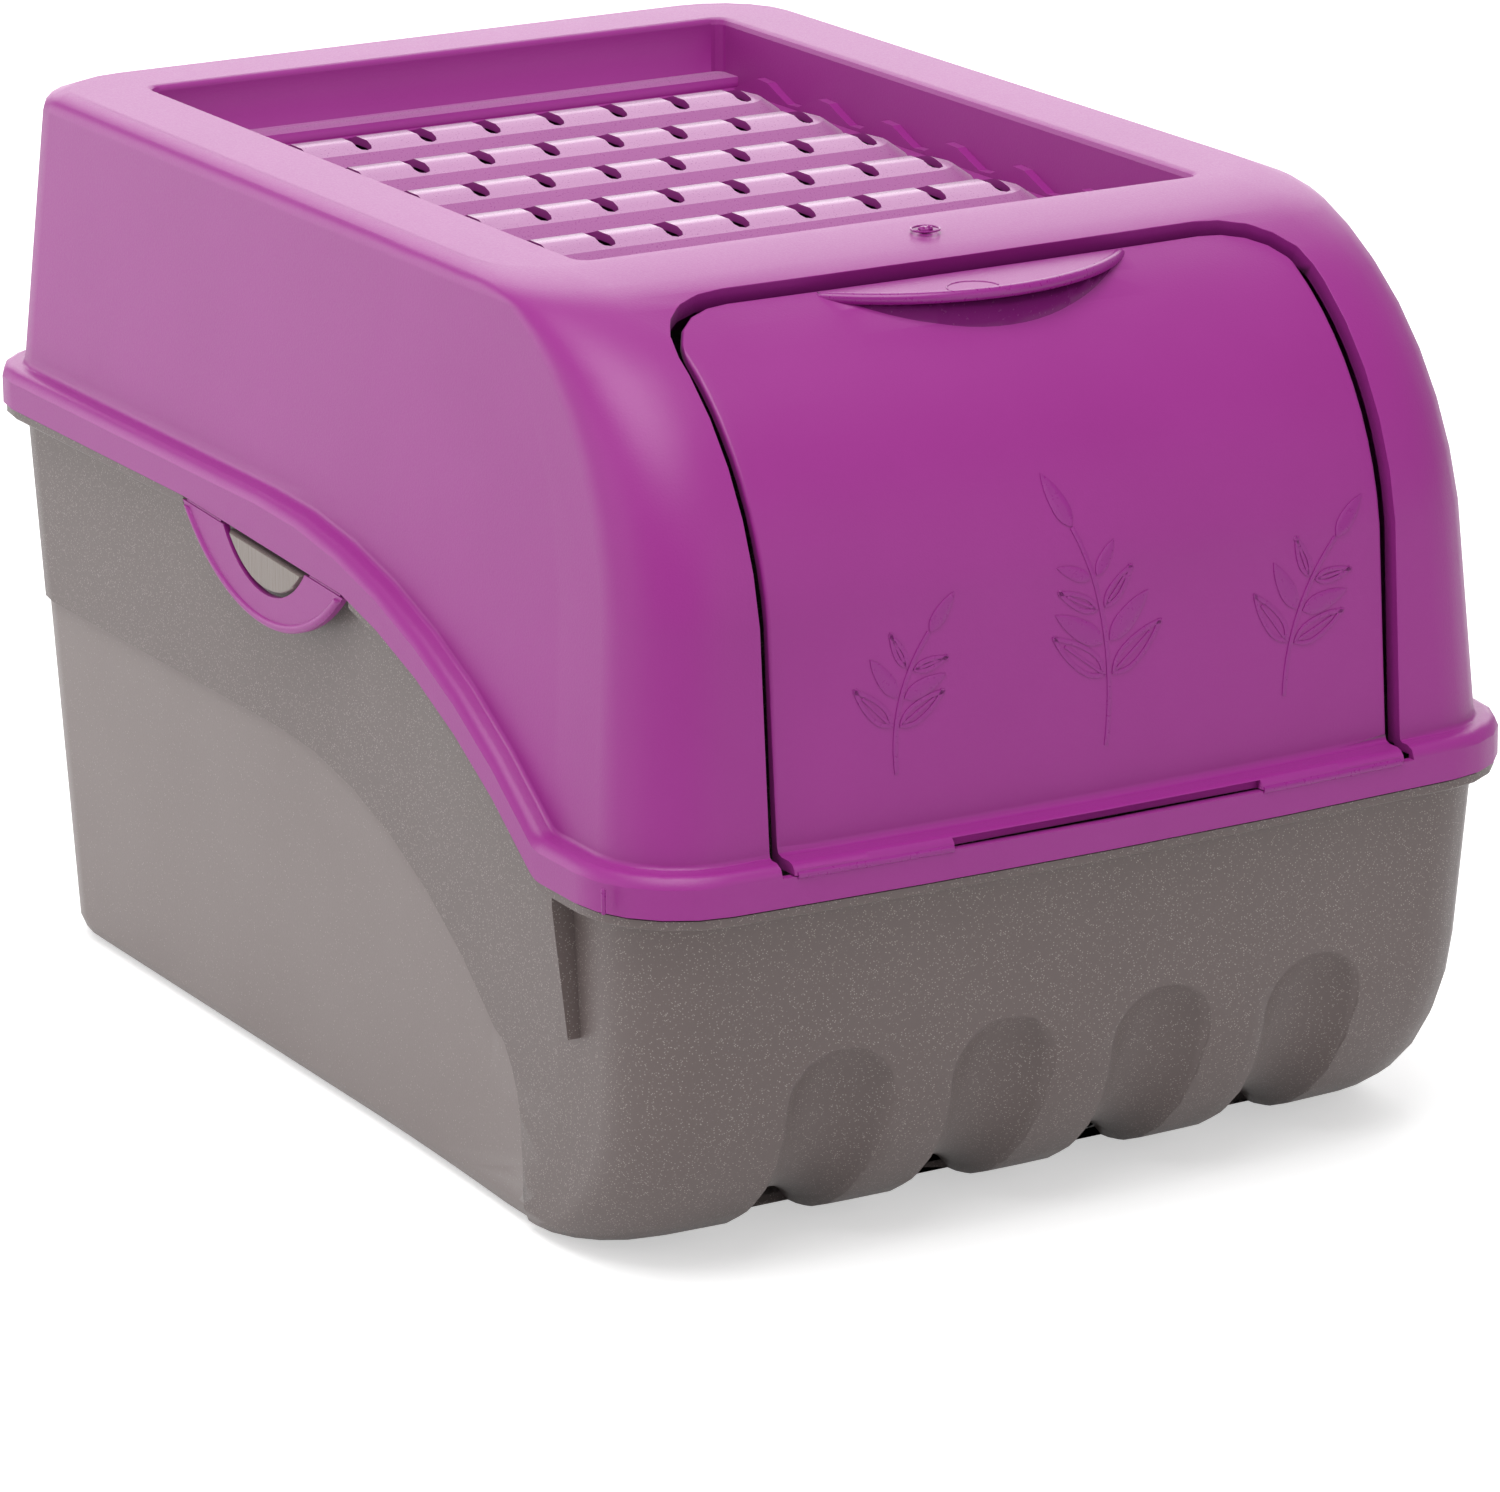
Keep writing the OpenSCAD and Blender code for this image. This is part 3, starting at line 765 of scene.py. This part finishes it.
@dataclass
class FlapRelief:
    """Shallow raised sprigs of leaves on the front of the flap, polished in the mould.

    Attributes:
        in_front: Distance in front of the bin at which the sprigs are drawn flat.
        height: Height of the relief.
        line: Width of a stem and of a leaf's outline.
        edge: Width of the bevel along the relief's edges.
        cuts: Cuts of each edge, so that the relief follows the flap's curve.
        stem_steps: Number of straight steps in a stem.
        first_pair: Share of the stem below the first pair of leaves.
        pair_reach: Share of the stem that carries the pairs.
        spread: Angle in degrees between a leaf and the stem.
        shrink: Share by which each pair is shorter than the lowest one.
        leaf_off: Distance between a leaf's foot and the middle of the stem.
        top_leaf: Length of the top leaf as a share of the lowest ones.
        top_off: Distance between the top leaf's foot and the stem's end.
        leaf_width: Width of a leaf as a share of its length.
        leaf_taper: How much narrower a leaf gets towards its tip.
        leaf_corners: Number of corners of a leaf.
        rib_width: Width of a midrib as a share of the line.
        rib_gap: Distance between a midrib and the outline at the foot.
        rib_tip: Place of the midrib's tip above the leaf's middle, as a share of the length.
        sprigs: The sprigs, from left to right.
    """

    in_front: float = 230.0
    height: float = 0.22
    line: float = 1.1
    edge: float = 0.15
    cuts: int = 2
    stem_steps: int = 14
    first_pair: float = 0.3
    pair_reach: float = 0.6
    spread: float = 52.0
    shrink: float = 0.16
    leaf_off: float = 1.2
    top_leaf: float = 0.75
    top_off: float = 0.2
    leaf_width: float = 0.32
    leaf_taper: float = 0.35
    leaf_corners: int = 24
    rib_width: float = 0.7
    rib_gap: float = 0.3
    rib_tip: float = 0.26
    sprigs: tuple[Sprig, ...] = (
        Sprig((-55.0, 127.0), 36.0, 46.0, -6.0, 3, 15.0),
        Sprig((4.0, 125.0), 56.0, -34.0, 10.0, 4, 19.0),
        Sprig((57.0, 129.0), 42.0, 40.0, 4.0, 3, 17.0),
    )

    def build(self, flap: bpy.types.Object, material: bpy.types.Material) -> bpy.types.Object:
        """Draws the sprigs flat, lays them on the flap and gives them their height.

        Args:
            flap: Shell that the relief lies on.
            material: Finish of the relief.

        Returns:
            The finished relief.
        """
        parts = [part for sprig in self.sprigs for part in self.sprig(sprig)]
        bpy.ops.object.select_all(action="DESELECT")
        for part in parts:
            part.select_set(True)
        bpy.context.view_layer.objects.active = parts[0]
        bpy.ops.object.join()
        relief = bpy.context.active_object
        relief.name = "flap_leaf_relief"
        bpy.ops.object.mode_set(mode="EDIT")
        bpy.ops.mesh.select_all(action="SELECT")
        bpy.ops.mesh.quads_convert_to_tris()
        bpy.ops.mesh.subdivide(number_cuts=self.cuts)
        bpy.ops.object.mode_set(mode="OBJECT")
        apply_modifier(
            relief, "SHRINKWRAP", target=flap, wrap_method="PROJECT", use_project_y=True,
            use_positive_direction=True, use_negative_direction=False,
        )
        apply_modifier(relief, "SOLIDIFY", thickness=2 * self.height * MM, offset=0.0)
        apply_modifier(
            relief, "BEVEL", width=self.edge * MM, segments=2, limit_method="ANGLE",
            angle_limit=math.radians(60),
        )
        bpy.ops.object.shade_smooth_by_angle(angle=math.radians(40))
        dress(relief, material, Body.FLAP)
        return relief

    def sprig(self, sprig: Sprig) -> list[bpy.types.Object]:
        """Draws one sprig as a bowed stem with pairs of leaves and one at its top.

        Args:
            sprig: Place and form of the sprig.

        Returns:
            The flat parts of the sprig.
        """
        parts = [self.stem(sprig)]
        for k in range(sprig.pairs):
            share = self.first_pair + self.pair_reach * k / sprig.pairs
            x, z, way = self.along(sprig, share)
            for side in (-1, 1):
                size = sprig.leaf * (1 - self.shrink * k)
                turn = way + side * self.spread
                parts += self.leaf(x, z, turn, size, k % 2 == 1, self.leaf_off)
        x, z, way = self.along(sprig, 1.0)
        parts += self.leaf(x, z, way, sprig.leaf * self.top_leaf, True, self.top_off)
        return parts

    def along(self, sprig: Sprig, share: float) -> tuple[float, float, float]:
        """Finds a point of the bowed stem.

        Args:
            sprig: Sprig that the stem belongs to.
            share: Share of the stem's length from its foot.

        Returns:
            The point and the direction of the stem there, in degrees from upright.
        """
        turn = math.radians(sprig.bow)
        radius = sprig.height / turn
        angle = turn * share
        lean = math.radians(sprig.lean)
        x, z = radius * (1 - math.cos(angle)), radius * math.sin(angle)
        return (
            sprig.foot[0] + x * math.cos(lean) + z * math.sin(lean),
            sprig.foot[1] - x * math.sin(lean) + z * math.cos(lean),
            sprig.bow * share + sprig.lean,
        )

    def stem(self, sprig: Sprig) -> bpy.types.Object:
        """Sweeps a short edge along the bow of the stem.

        Args:
            sprig: Sprig that the stem belongs to.

        Returns:
            The flat stem.
        """
        bpy.ops.mesh.primitive_grid_add(
            x_subdivisions=1, y_subdivisions=self.stem_steps, size=1.0,
            rotation=(math.pi / 2, 0, 0),
        )
        stem = bpy.context.active_object
        seat(stem)
        for vertex in stem.data.vertices:
            share = round((vertex.co.z + 0.5) * self.stem_steps) / self.stem_steps
            x, z, way = self.along(sprig, share)
            out = math.copysign(self.line / 2, vertex.co.x)
            angle = math.radians(way)
            x += out * math.cos(angle)
            z -= out * math.sin(angle)
            vertex.co = Vector((x, -self.in_front, z)) * MM
        return stem

    def leaf(
        self, x: float, z: float, way: float, length: float, filled: bool, off: float
    ) -> list[bpy.types.Object]:
        """Draws one pointed leaf.

        Args:
            x: Place of the leaf's foot across the flap.
            z: Height of the leaf's foot.
            way: Direction of the leaf in degrees from upright.
            length: Length of the leaf.
            filled: Whether the leaf is a full face or an outline with a midrib.
            off: Distance between the foot and the middle of the stem.

        Returns:
            The flat parts of the leaf.
        """
        half = length / 2
        bpy.ops.mesh.primitive_circle_add(
            vertices=self.leaf_corners, radius=half * MM, fill_type="NGON",
            rotation=(math.pi / 2, 0, 0),
        )
        leaf = bpy.context.active_object
        seat(leaf)
        for vertex in leaf.data.vertices:
            share = vertex.co.z / (half * MM)
            point = math.sqrt(max(0.0, 1 - share ** 4) + 0.02)
            vertex.co.x *= self.leaf_width * (1 - self.leaf_taper * share) * point
        parts = [leaf]
        if not filled:
            bpy.ops.object.mode_set(mode="EDIT")
            bpy.ops.mesh.select_all(action="SELECT")
            bpy.ops.mesh.inset(thickness=self.line * MM)
            bpy.ops.mesh.delete(type="FACE")
            bpy.ops.object.mode_set(mode="OBJECT")
            bpy.ops.mesh.primitive_grid_add(
                x_subdivisions=1, y_subdivisions=4, size=1.0, rotation=(math.pi / 2, 0, 0)
            )
            rib = bpy.context.active_object
            seat(rib)
            for vertex in rib.data.vertices:
                vertex.co.x *= self.rib_width * self.line * MM
                share = vertex.co.z + 0.5
                foot, tip = self.line + self.rib_gap - half, self.rib_tip * length
                vertex.co.z = (foot + share * (tip - foot)) * MM
            parts.append(rib)
        angle = math.radians(way)
        reach = half + off
        x += reach * math.sin(angle)
        z += reach * math.cos(angle)
        middle = Vector((x, -self.in_front, z))
        for part in parts:
            part.rotation_euler = (0.0, angle, 0.0)
            part.location = middle * MM
            seat(part)
        return parts


@dataclass
class FingerLip:
    """The polished finger lip: a rounded rim along its arc and the smooth wall under it, in a dark
    purple that is painted shade.

    Attributes:
        half_width: Half the width of the lip at its back.
        reach: How far its arc reaches to the front.
        top_z: Height of its upper face.
        rim_radius: Radius of the rim.
        rim_proud: How far the rim stands out of the arc.
        rim_rise: How far the rim stands above the upper face.
        back_y: Place of the lip's back.
        back_cut: How far in front of the back the rim ends.
        end_round: Width of the bevel at the rim's ends.
        wall_low_z: Height above which the flap's upright faces belong to the wall.
        wall_slack: How far such a face may lie off the arc.
        most_slope: Largest slope of such a face.
    """

    half_width: float = 44.0
    reach: float = 19.0
    top_z: float = 233.2
    rim_radius: float = 1.5
    rim_proud: float = 1.1
    rim_rise: float = 0.15
    back_y: float = -124.8
    back_cut: float = 0.8
    end_round: float = 0.6
    wall_low_z: float = 205.0
    wall_slack: float = 0.4
    most_slope: float = 0.2

    @property
    def radius(self) -> float:
        """Radius of the arc seen from above."""
        return (self.half_width ** 2 + self.reach ** 2) / (2 * self.reach)

    @property
    def middle_y(self) -> float:
        """Place of the arc's middle."""
        return self.back_y - self.reach + self.radius

    def rim(self, material: bpy.types.Material) -> bpy.types.Object:
        """Sweeps the rim along the arc and cuts it off where the lip ends.

        Args:
            material: Finish of the rim.

        Returns:
            The finished rim.
        """
        rim_z = self.top_z - self.rim_radius + self.rim_rise
        bpy.ops.mesh.primitive_torus_add(
            location=Vector((0.0, self.middle_y, rim_z)) * MM,
            major_radius=(self.radius + self.rim_proud - self.rim_radius) * MM,
            minor_radius=self.rim_radius * MM, major_segments=288, minor_segments=16,
        )
        rim = bpy.context.active_object
        rim.name = "finger_lip_rim"
        seat(rim)
        bpy.ops.object.mode_set(mode="EDIT")
        bpy.ops.mesh.select_all(action="SELECT")
        bpy.ops.mesh.bisect(
            plane_co=(0.0, (self.back_y - self.back_cut) * MM, 0.0), plane_no=(0.0, 1.0, 0.0),
            clear_outer=True, use_fill=True,
        )
        bpy.ops.object.mode_set(mode="OBJECT")
        apply_modifier(
            rim, "BEVEL", width=self.end_round * MM, segments=3, limit_method="ANGLE",
            angle_limit=math.radians(50),
        )
        bpy.ops.object.shade_smooth_by_angle(angle=math.radians(50))
        dress(rim, material, Body.FLAP)
        return rim

    def polish_and_shade_wall(self, flap: bpy.types.Object, material: bpy.types.Material) -> None:
        """Gives the upright wall of the lip its smooth finish, whose dark purple paints the shade
        under the rim.

        Args:
            flap: Shell of the flap.
            material: Finish of the wall, with painted shade.
        """
        flap.data.materials.append(material)
        for face in flap.data.polygons:
            middle = face.center / MM
            off = math.hypot(middle.x, middle.y - self.middle_y) - self.radius
            under_lip = middle.z > self.wall_low_z and middle.y < self.back_y
            upright = abs(face.normal.z) < self.most_slope
            # Upright faces under the rim get the dark purple of painted shade
            if under_lip and upright and abs(off) < self.wall_slack:
                face.material_index = 1


@dataclass
class MouldMarks:
    """Marks that the mould leaves on the lid.

    Attributes:
        gate: Place of the stub where the plastic went in.
        gate_radius: Radius of the stub.
        gate_squash: Scale of the stub along each axis.
        gate_ring: Radius of the thin ring round the stub, as a multiple of the stub's.
        gate_ring_wire: Radius of the ring's section.
        break_size: Width of the bumps where the stub was broken off.
        break_depth: Depth of these bumps.
        ejector: Place of the ring that an ejector left on the finger lip.
        ejector_radius: Radius of that ring.
        ejector_wire: Radius of its section.
        ejector_cut: How far its middle lies behind the line where the front is cut off.
        weld: Middle of the ridge of a weld line, close beside the band's left front corner.
        weld_radius: Radius of the ridge.
        weld_height: Height of the ridge.
        weld_round: Width of the bevel at its ends.
    """

    gate: tuple[float, float, float] = (-1.4, -105.6, 240.0)
    gate_radius: float = 1.7
    gate_squash: tuple[float, float, float] = (1.15, 0.9, 0.5)
    gate_ring: float = 2.1
    gate_ring_wire: float = 0.28
    break_size: float = 0.9
    break_depth: float = 1.3
    ejector: tuple[float, float, float] = (-9.2, -141.0, 233.2)
    ejector_radius: float = 6.6
    ejector_wire: float = 0.22
    ejector_cut: float = 0.6
    weld: tuple[float, float, float] = (-131.2, -171.6, 105.6)
    weld_radius: float = 0.55
    weld_height: float = 6.5
    weld_round: float = 0.4

    def build(self, material: bpy.types.Material) -> None:
        """Makes and dresses the three marks.

        Args:
            material: Finish of the marks.
        """
        dress(self.gate_stub(), material, Body.LID)
        dress(self.ejector_ring(), material, Body.FLAP)
        dress(self.weld_ridge(), material, Body.LID)

    def gate_stub(self) -> bpy.types.Object:
        """Makes the rough stub where the gate was cut, with a thin ring round it.

        Returns:
            The finished stub.
        """
        bpy.ops.mesh.primitive_torus_add(
            location=Vector(self.gate) * MM,
            major_radius=self.gate_ring * self.gate_radius * MM,
            minor_radius=self.gate_ring_wire * MM, major_segments=32, minor_segments=8,
        )
        ring = bpy.context.active_object
        bpy.ops.mesh.primitive_ico_sphere_add(
            subdivisions=3, radius=self.gate_radius * MM, location=Vector(self.gate) * MM
        )
        stub = bpy.context.active_object
        stub.scale = self.gate_squash
        seat(stub)
        rough = bpy.data.textures.new("gate_break", "CLOUDS")
        rough.noise_scale = self.break_size * MM
        apply_modifier(
            stub, "DISPLACE", texture=rough, strength=self.break_depth * MM,
            texture_coords="LOCAL",
        )
        bpy.ops.object.select_all(action="DESELECT")
        ring.select_set(True)
        stub.select_set(True)
        bpy.context.view_layer.objects.active = stub
        bpy.ops.object.join()
        stub.name = "hood_gate_mark"
        seat(stub)
        bpy.ops.object.shade_smooth_by_angle(angle=math.radians(35))
        return stub

    def ejector_ring(self) -> bpy.types.Object:
        """Makes the fine ring of an ejector sleeve, cut off at the front of the finger lip.

        Returns:
            The finished ring.
        """
        bpy.ops.mesh.primitive_torus_add(
            location=Vector(self.ejector) * MM, major_radius=self.ejector_radius * MM,
            minor_radius=self.ejector_wire * MM, major_segments=64, minor_segments=8,
        )
        ring = bpy.context.active_object
        ring.name = "finger_lip_ejector_ring"
        seat(ring)
        bpy.ops.object.mode_set(mode="EDIT")
        bpy.ops.mesh.select_all(action="SELECT")
        bpy.ops.mesh.bisect(
            plane_co=(0.0, (self.ejector[1] - self.ejector_cut) * MM, 0.0),
            plane_no=(0.0, -1.0, 0.0), clear_outer=True, use_fill=True,
        )
        bpy.ops.object.mode_set(mode="OBJECT")
        bpy.ops.object.shade_smooth_by_angle(angle=math.radians(50))
        return ring

    def weld_ridge(self) -> bpy.types.Object:
        """Makes the short upright ridge beside the corner of the band.

        Returns:
            The finished ridge.
        """
        bpy.ops.mesh.primitive_cylinder_add(
            vertices=12, radius=self.weld_radius * MM, depth=self.weld_height * MM,
            location=Vector(self.weld) * MM,
        )
        ridge = bpy.context.active_object
        ridge.name = "band_weld_mark"
        seat(ridge)
        apply_modifier(
            ridge, "BEVEL", width=self.weld_round * MM, segments=3, limit_method="ANGLE"
        )
        bpy.ops.object.shade_smooth_by_angle(angle=math.radians(50))
        return ridge


@dataclass
class Studio:
    """Pale floor, soft boxes, white surround and the camera.

    Attributes:
        target: Point that the camera looks at.
        azimuth: Camera's turn from the front to the right, in degrees.
        elevation: Camera's height over the level, in degrees.
        roll: Camera's roll, in degrees.
        distance: Distance between camera and target.
        lens: Focal length on the sensor.
        sensor: Width of the sensor.
        shift: Shift of the picture on the sensor.
        floor_side: Side of the floor.
        floor_glow: Light that the floor adds in view, which keeps it white.
        surround: Strength of the white surround on the bin.
        floor_in_gloss: Share of the floor's glow that shows in reflections.
        aim_z: Height of the point that the soft boxes face.
        boxes: Name, place, side and power in watts of each soft box.
    """

    target: tuple[float, float, float] = (10.55, 0.0, 76.88)
    azimuth: float = -29.9175
    elevation: float = 16.9986
    roll: float = -0.5473
    distance: float = 1903.3
    lens: float = 170.834
    sensor: float = 36.0
    shift: tuple[float, float] = (-0.00624, -0.0004)
    floor_side: float = 9000.0
    floor_glow: float = 0.5
    surround: float = 0.42
    floor_in_gloss: float = 0.4
    aim_z: float = 110.0
    boxes: list[tuple[str, tuple[float, float, float], float, float]] = field(
        default_factory=lambda: [
            ("sky_box", (-500.0, -500.0, 2300.0), 1700.0, 42.0),
            ("back_box", (1250.0, 2200.0, 1000.0), 2600.0, 44.0),
            ("left_back_box", (-1400.0, 2000.0, 450.0), 1600.0, 18.0),
            ("side_box", (-2100.0, 100.0, 800.0), 1400.0, 5.8),
            ("fill_box", (600.0, -2400.0, 900.0), 1600.0, 7.0),
        ]
    )

    def build(self) -> None:
        """Makes the whole studio."""
        self.floor()
        self.world()
        for name, place, side, power in self.boxes:
            self.box(name, Vector(place), side, power)
        self.camera()

    def floor(self) -> None:
        """Lays a pale floor that stays white in view and keeps the shadow."""
        bpy.ops.mesh.primitive_plane_add(size=self.floor_side * MM)
        floor = bpy.context.active_object
        floor.name = "studio_floor"
        paper = bpy.data.materials.new("white_backdrop_paper")
        paper.use_nodes = True
        tree = paper.node_tree
        tree.nodes.remove(tree.nodes["Principled BSDF"])
        path = add_node(tree, "ShaderNodeLightPath")
        dimmed = add_node(
            tree, "ShaderNodeMath", {"operation": "MULTIPLY"},
            {0: path.outputs["Is Glossy Ray"], 1: self.floor_in_gloss},
        )
        seen = add_node(
            tree, "ShaderNodeMath", {"operation": "MAXIMUM"},
            {0: path.outputs["Is Camera Ray"], 1: dimmed.outputs[0]},
        )
        matte = add_node(tree, "ShaderNodeBsdfDiffuse", None, {"Color": linear("#e6e6e6")})
        glow = add_node(tree, "ShaderNodeEmission", None, {"Strength": self.floor_glow})
        lit = add_node(tree, "ShaderNodeAddShader", None, {0: matte.outputs[0], 1: glow.outputs[0]})
        mixed = add_node(
            tree, "ShaderNodeMixShader", None,
            {0: seen.outputs[0], 1: matte.outputs[0], 2: lit.outputs[0]},
        )
        tree.links.new(mixed.outputs[0], tree.nodes["Material Output"].inputs["Surface"])
        floor.data.materials.append(paper)

    def world(self) -> None:
        """Surrounds the bin with white that lights it at a plain level."""
        world = bpy.data.worlds.new("studio_surround")
        bpy.context.scene.world = world
        world.use_nodes = True
        tree = world.node_tree
        path = add_node(tree, "ShaderNodeLightPath")
        seen = add_node(
            tree, "ShaderNodeMath", {"operation": "MAXIMUM"},
            {0: path.outputs["Is Camera Ray"], 1: path.outputs["Is Transmission Ray"]},
        )
        strength = add_node(
            tree, "ShaderNodeMix", {"data_type": "FLOAT"},
            {0: seen.outputs[0], 2: self.surround, 3: 1.0},
        )
        tree.links.new(strength.outputs[0], tree.nodes["Background"].inputs["Strength"])
        tree.nodes["Background"].inputs["Color"].default_value = (1.0, 1.0, 1.0, 1.0)

    def box(self, name: str, place: Vector, side: float, power: float) -> None:
        """Hangs one square soft box that faces the bin.

        Args:
            name: Name of the lamp.
            place: Middle of the box in millimetres.
            side: Side of the box in millimetres.
            power: Power in watts.
        """
        lamp = bpy.data.lights.new(name, "AREA")
        lamp.size = side * MM
        lamp.energy = power
        holder = bpy.data.objects.new(name, lamp)
        bpy.context.scene.collection.objects.link(holder)
        holder.location = place * MM
        aim = Vector((0.0, 0.0, self.aim_z)) - place
        holder.rotation_euler = aim.to_track_quat("-Z", "Y").to_euler()

    def camera(self) -> None:
        """Sets the camera at the photograph's view."""
        data = bpy.data.cameras.new("camera")
        data.lens = self.lens
        data.sensor_width = self.sensor
        data.sensor_fit = "HORIZONTAL"
        data.shift_x, data.shift_y = self.shift
        data.clip_end = 50.0
        camera = bpy.data.objects.new("camera", data)
        bpy.context.scene.collection.objects.link(camera)
        angles = (self.azimuth, self.elevation, self.roll)
        azimuth, elevation, roll = (math.radians(angle) for angle in angles)
        back = Vector((
            math.sin(azimuth) * math.cos(elevation),
            -math.cos(azimuth) * math.cos(elevation),
            math.sin(elevation),
        ))
        right = Vector((0.0, 0.0, 1.0)).cross(back).normalized()
        up = back.cross(right)
        right, up = (
            math.cos(roll) * right + math.sin(roll) * up,
            math.cos(roll) * up - math.sin(roll) * right,
        )
        frame = Matrix((right, up, back)).transposed().to_4x4()
        frame.translation = (Vector(self.target) + back * self.distance) * MM
        camera.matrix_world = frame
        bpy.context.scene.camera = camera


def main() -> None:
    """Builds the finishes, the mouldings, their details and the studio."""
    logging.basicConfig(level=logging.INFO, format="%(name)s %(message)s")
    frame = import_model()
    bpy.context.scene.view_settings.view_transform = "Standard"
    lid = LID_PLASTIC.material()
    tub = TUB_PLASTIC.material()
    opening, bead = FlapOpening(), TrayBead()
    shells = [
        (MouldedShell("tub", Body.TUB, Slot.TUB), tub),
        (MouldedShell("hood", Body.LID, Slot.LID, (opening.rounding(),), bead.holds), lid),
        (MouldedShell("flap", Body.FLAP, Slot.LID), lid),
        (MouldedShell("latch_left", Body.LATCH_LEFT, Slot.LID), lid),
        (MouldedShell("latch_right", Body.LATCH_RIGHT, Slot.LID), lid),
    ]
    mouldings = {shell.node: shell.build(frame["nodes"], material) for shell, material in shells}
    polished = POLISHED_LID_PLASTIC.material()
    FlapRelief().build(mouldings["flap"], polished)
    LowerPanel().etch_and_paint_sheen(mouldings["tub"], TUB_PANEL_PAINTED_SHEEN_PLASTIC.material())
    Catch().dress_faces(mouldings["tub"], DRESSED_TUB_PLASTIC.material())
    VentFloor().gloss_and_paint_reflection(mouldings["hood"], VENT_PAINTED_REFLECTION_PLASTIC.material())
    for side in (-1, 1):
        FilmHinge(side).build(polished)
    lip = FingerLip()
    lip.rim(polished)
    lip.polish_and_shade_wall(mouldings["flap"], LIP_WALL_PAINTED_SHADE_PLASTIC.material())
    MouldMarks().build(polished)
    Studio().build()


if __name__ == "__main__":
    main()
